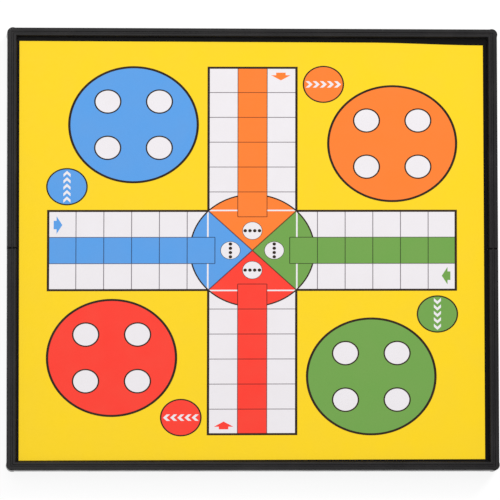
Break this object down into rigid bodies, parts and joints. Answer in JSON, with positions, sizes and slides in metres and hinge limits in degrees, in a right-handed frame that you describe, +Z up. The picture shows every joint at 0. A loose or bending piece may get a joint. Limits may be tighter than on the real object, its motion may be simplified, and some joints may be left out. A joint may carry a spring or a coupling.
{
  "type": "folding ludo board box",
  "caption": "Folding board box: two hinged black trays that open flat as a game board, with a loose printed ludo sheet in the recess.",
  "frame": {"origin": "middle of the opened box's outline, on the table that it lies on", "axes": "+X along the fold, +Y from the near half to the far half, +Z up out of the board"},
  "size_m": [0.3206, 0.2889, 0.02],
  "materials": {
    "tray_plastic": "black moulded polystyrene, satin with a fine grain",
    "pin_steel": "drawn wire, plain",
    "sheet_card": "smooth printed card, satin varnish"
  },
  "bodies": {
    "near_half": {"near_tray": "tray_plastic", "left_hinge_pin": "pin_steel", "right_hinge_pin": "pin_steel"},
    "far_half": {"far_tray": "tray_plastic"},
    "near_sheet": {"near_sheet_leaf": "sheet_card"},
    "far_sheet": {"far_sheet_leaf": "sheet_card"}
  },
  "joints": [
    {"name": "board_fold", "type": "hinge", "parent": "near_half", "child": "far_half", "pos_m": [0, 0, 0.0021], "axis": [-1, 0, 0], "range_deg": [0, 180]},
    {"name": "sheet_lift", "type": "slide", "parent": "near_half", "child": "near_sheet", "axis": [0, 0, 1], "range_m": [0, 0.06]},
    {"name": "sheet_crease", "type": "hinge", "parent": "near_sheet", "child": "far_sheet", "pos_m": [0, -0.0013, 0.01725], "axis": [1, 0, 0], "range_deg": [0, 180]}
  ]
}
